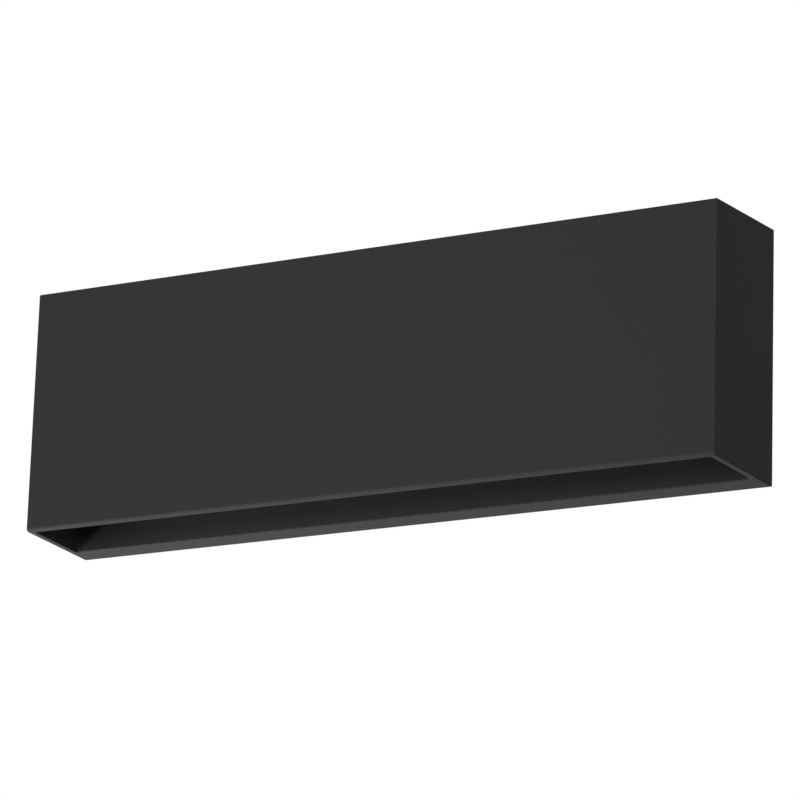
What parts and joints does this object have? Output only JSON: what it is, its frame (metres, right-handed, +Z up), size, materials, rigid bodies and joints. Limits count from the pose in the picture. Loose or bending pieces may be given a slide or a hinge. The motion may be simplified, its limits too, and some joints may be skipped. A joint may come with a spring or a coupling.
{
  "type": "outdoor wall light",
  "caption": "Slim rectangular outdoor wall light with a closed top; it slides onto a wall bracket and shines down from a strip lens set back in its open underside.",
  "frame": {"origin": "on the wall, at the centre of the bracket's wire hole, midway between the two junction-box slots", "axes": "+X along the light, to the right for someone facing the wall; +Y into the wall; +Z up"},
  "size_m": [0.61, 0.092, 0.201],
  "materials": {
    "cast_aluminium_black": "matte",
    "galvanised_steel": "satin",
    "zinc_steel": "satin",
    "black_steel": "satin",
    "green_steel": "satin",
    "brass": "satin",
    "tinned_copper": "satin",
    "foam_rubber": "matte",
    "silicone_white": "matte",
    "thermal_silicone": "matte",
    "grommet_rubber": "matte",
    "opal_acrylic": "gloss",
    "white_aluminium": "satin",
    "board_white": "satin",
    "phosphor": "satin",
    "white_nylon": "satin",
    "driver_aluminium": "satin",
    "black_plastic": "matte",
    "lead_black": "satin",
    "lead_white": "satin",
    "lead_green": "satin",
    "lead_red": "satin"
  },
  "bodies": {
    "wall_mount": {"wall_bracket": "galvanised_steel", "clinch_nuts": "zinc_steel", "lock_screws": "black_steel", "lock_washers": "zinc_steel", "ground_screw": "green_steel", "ground_washer": "brass"},
    "lamp": {"housing": "cast_aluminium_black", "bezel": "cast_aluminium_black", "wall_gasket": "foam_rubber", "bezel_screws": "black_steel", "diffuser": "opal_acrylic", "diffuser_seal": "silicone_white", "led_tray": "white_aluminium", "thermal_pads": "thermal_silicone", "led_board_left": "board_white", "led_board_right": "board_white", "led_chips": "phosphor", "board_screws": "zinc_steel", "board_link": "white_nylon", "board_socket": "white_nylon", "driver_foot": "driver_aluminium", "driver_case": "driver_aluminium", "driver_supply_cap": "black_plastic", "driver_output_cap": "black_plastic", "driver_screws": "zinc_steel", "lead_grommet": "grommet_rubber", "tray_grommets": "grommet_rubber", "live_lead": "lead_black", "neutral_lead": "lead_white", "positive_lead": "lead_red", "negative_lead": "lead_black", "terminal_block": "white_nylon", "terminal_inserts": "brass", "terminal_screws": "zinc_steel", "block_screws": "zinc_steel", "earth_ring": "tinned_copper", "earth_washer": "zinc_steel", "earth_screw": "zinc_steel", "earth_lead": "lead_green"}
  },
  "joints": [
    {"name": "housing_pull_off", "type": "slide", "parent": "wall_mount", "child": "lamp", "axis": [0, -1, 0], "range_m": [0, 0.017]}
  ]
}
